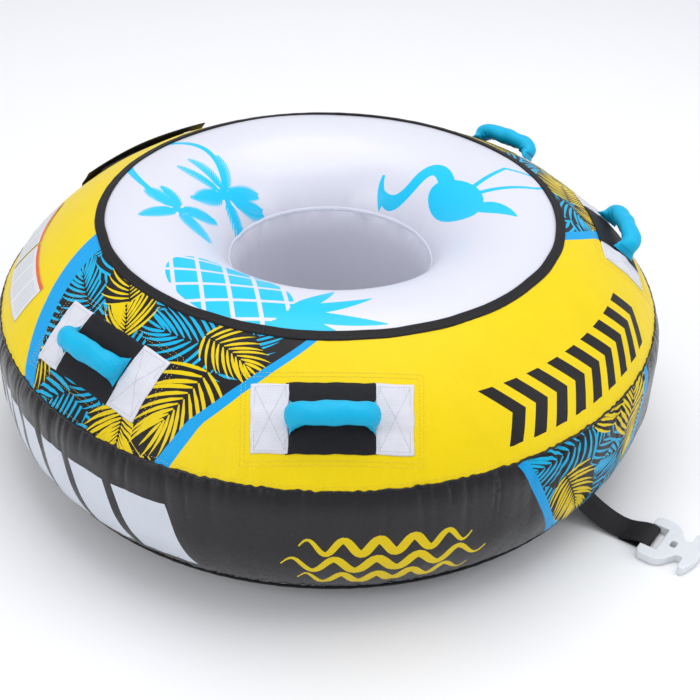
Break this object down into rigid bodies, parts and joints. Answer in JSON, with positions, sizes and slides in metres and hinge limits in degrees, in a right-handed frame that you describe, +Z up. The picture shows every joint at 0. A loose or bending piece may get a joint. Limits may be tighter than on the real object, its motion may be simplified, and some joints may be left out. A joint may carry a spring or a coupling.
{
  "type": "towable tube",
  "caption": "Round inflatable tube for towing behind a boat: bladder in a zipped nylon cover, padded grips, tow strap and hook-on connector.",
  "frame": {"origin": "on the tube's own axis, at the level of the surface it rests on", "axes": "+Z up along the tube's axis, -Y towards the front grip, +X to the right seen from the front"},
  "size_m": [1.1642, 1.12, 0.409],
  "materials": {
    "white_pvc": "satin",
    "white_plastic": "satin",
    "grey_rubber": "matte",
    "yellow_nylon": "satin",
    "black_nylon": "satin",
    "black_webbing": "matte",
    "label_fabric": "matte",
    "black_plastic": "satin",
    "zinc": "satin",
    "natural_nylon": "satin",
    "pad_fabric": "matte",
    "white_patch": "matte",
    "grey_foam": "matte",
    "cyan_nylon": "satin"
  },
  "bodies": {
    "tube": {"bladder_top_panel": "white_pvc", "bladder_outer_wall": "white_pvc", "bladder_bottom_panel": "white_pvc", "bladder_inner_wall": "white_pvc", "upper_weld_ring": "white_pvc", "lower_weld_ring": "white_pvc", "valve_base": "white_plastic", "valve_insert": "white_plastic", "valve_tether": "white_plastic", "cover_top_panel": "yellow_nylon", "cover_side_panel": "black_nylon", "cover_bottom_panel": "black_nylon", "top_binding": "black_webbing", "bottom_binding": "black_webbing", "upper_seam_welt": "black_webbing", "lower_seam_welt": "black_webbing", "zipper_tape": "black_webbing", "tow_anchor": "black_webbing", "front_label": "label_fabric", "rear_label": "label_fabric", "zipper_coil": "black_plastic", "left_knuckle_pad": "pad_fabric", "left_patch_a": "white_patch", "left_patch_b": "white_patch", "left_webbing_tabs": "black_webbing", "front_knuckle_pad": "pad_fabric", "front_patch_a": "white_patch", "front_patch_b": "white_patch", "front_webbing_tabs": "black_webbing", "right_knuckle_pad": "pad_fabric", "right_patch_a": "white_patch", "right_patch_b": "white_patch", "right_webbing_tabs": "black_webbing", "rear_knuckle_pad": "pad_fabric", "rear_patch_a": "white_patch", "rear_patch_b": "white_patch", "rear_webbing_tabs": "black_webbing"},
    "left_grip": {"left_grip_sleeve": "cyan_nylon", "left_grip_foam": "grey_foam", "left_grip_webbing": "black_webbing"},
    "front_grip": {"front_grip_sleeve": "cyan_nylon", "front_grip_foam": "grey_foam", "front_grip_webbing": "black_webbing"},
    "right_grip": {"right_grip_sleeve": "cyan_nylon", "right_grip_foam": "grey_foam", "right_grip_webbing": "black_webbing"},
    "rear_grip": {"rear_grip_sleeve": "cyan_nylon", "rear_grip_foam": "grey_foam", "rear_grip_webbing": "black_webbing"},
    "slider": {"zipper_slider": "zinc"},
    "pull_tab": {"zipper_pull": "zinc"},
    "rear_flap": {"zipper_flap": "black_nylon"},
    "cap": {"valve_cap": "white_plastic"},
    "check_flap": {"valve_flap": "grey_rubber"},
    "strap": {"tow_strap": "black_webbing"},
    "connector": {"tow_connector": "natural_nylon"}
  },
  "joints": [
    {"name": "left_grip_tilt", "type": "hinge", "parent": "tube", "child": "left_grip", "pos_m": [-0.3363, -0.35069, 0.33984], "axis": [0.7218, -0.6921, 0], "range_deg": [-30, 30]},
    {"name": "front_grip_tilt", "type": "hinge", "parent": "tube", "child": "front_grip", "pos_m": [0.00678, -0.48583, 0.33984], "axis": [0.9999, 0.014, 0], "range_deg": [-30, 30]},
    {"name": "right_grip_tilt", "type": "hinge", "parent": "tube", "child": "right_grip", "pos_m": [0.48469, 0.03389, 0.33984], "axis": [-0.0698, 0.9976, 0], "range_deg": [-30, 30]},
    {"name": "rear_grip_tilt", "type": "hinge", "parent": "tube", "child": "rear_grip", "pos_m": [0.32512, 0.36108, 0.33984], "axis": [-0.7431, 0.6691, 0], "range_deg": [-30, 30]},
    {"name": "zipper_travel", "type": "hinge", "parent": "tube", "child": "slider", "pos_m": [0, 0, 0.35], "axis": [0, 0, 1], "range_deg": [0, 22]},
    {"name": "pull_tab_lift", "type": "hinge", "parent": "slider", "child": "pull_tab", "pos_m": [-0.28891, 0.38659, 0.34369], "axis": [-0.4565, 0.6124, -0.6455], "range_deg": [0, 12]},
    {"name": "rear_flap_fold", "type": "hinge", "parent": "tube", "child": "rear_flap", "pos_m": [-0.37338, 0.34575, 0.32191], "axis": [-0.6794, -0.7337, 0], "range_deg": [0, 120]},
    {"name": "valve_cap_pull", "type": "slide", "parent": "tube", "child": "cap", "axis": [0, 1, 0], "range_m": [0, 0.014]},
    {"name": "check_flap_open", "type": "hinge", "parent": "tube", "child": "check_flap", "pos_m": [0, -0.1674, 0.188], "axis": [1, 0, 0], "range_deg": [-30, 0]},
    {"name": "tow_strap_swing", "type": "hinge", "parent": "tube", "child": "strap", "pos_m": [0.41701, -0.2866, 0.034], "axis": [-0.5664, -0.8241, 0], "range_deg": [0, 35]},
    {"name": "tow_connector_swing", "type": "hinge", "parent": "strap", "child": "connector", "pos_m": [0.52085, -0.35797, 0.0082], "axis": [-0.5664, -0.8241, 0], "range_deg": [0, 90]}
  ]
}
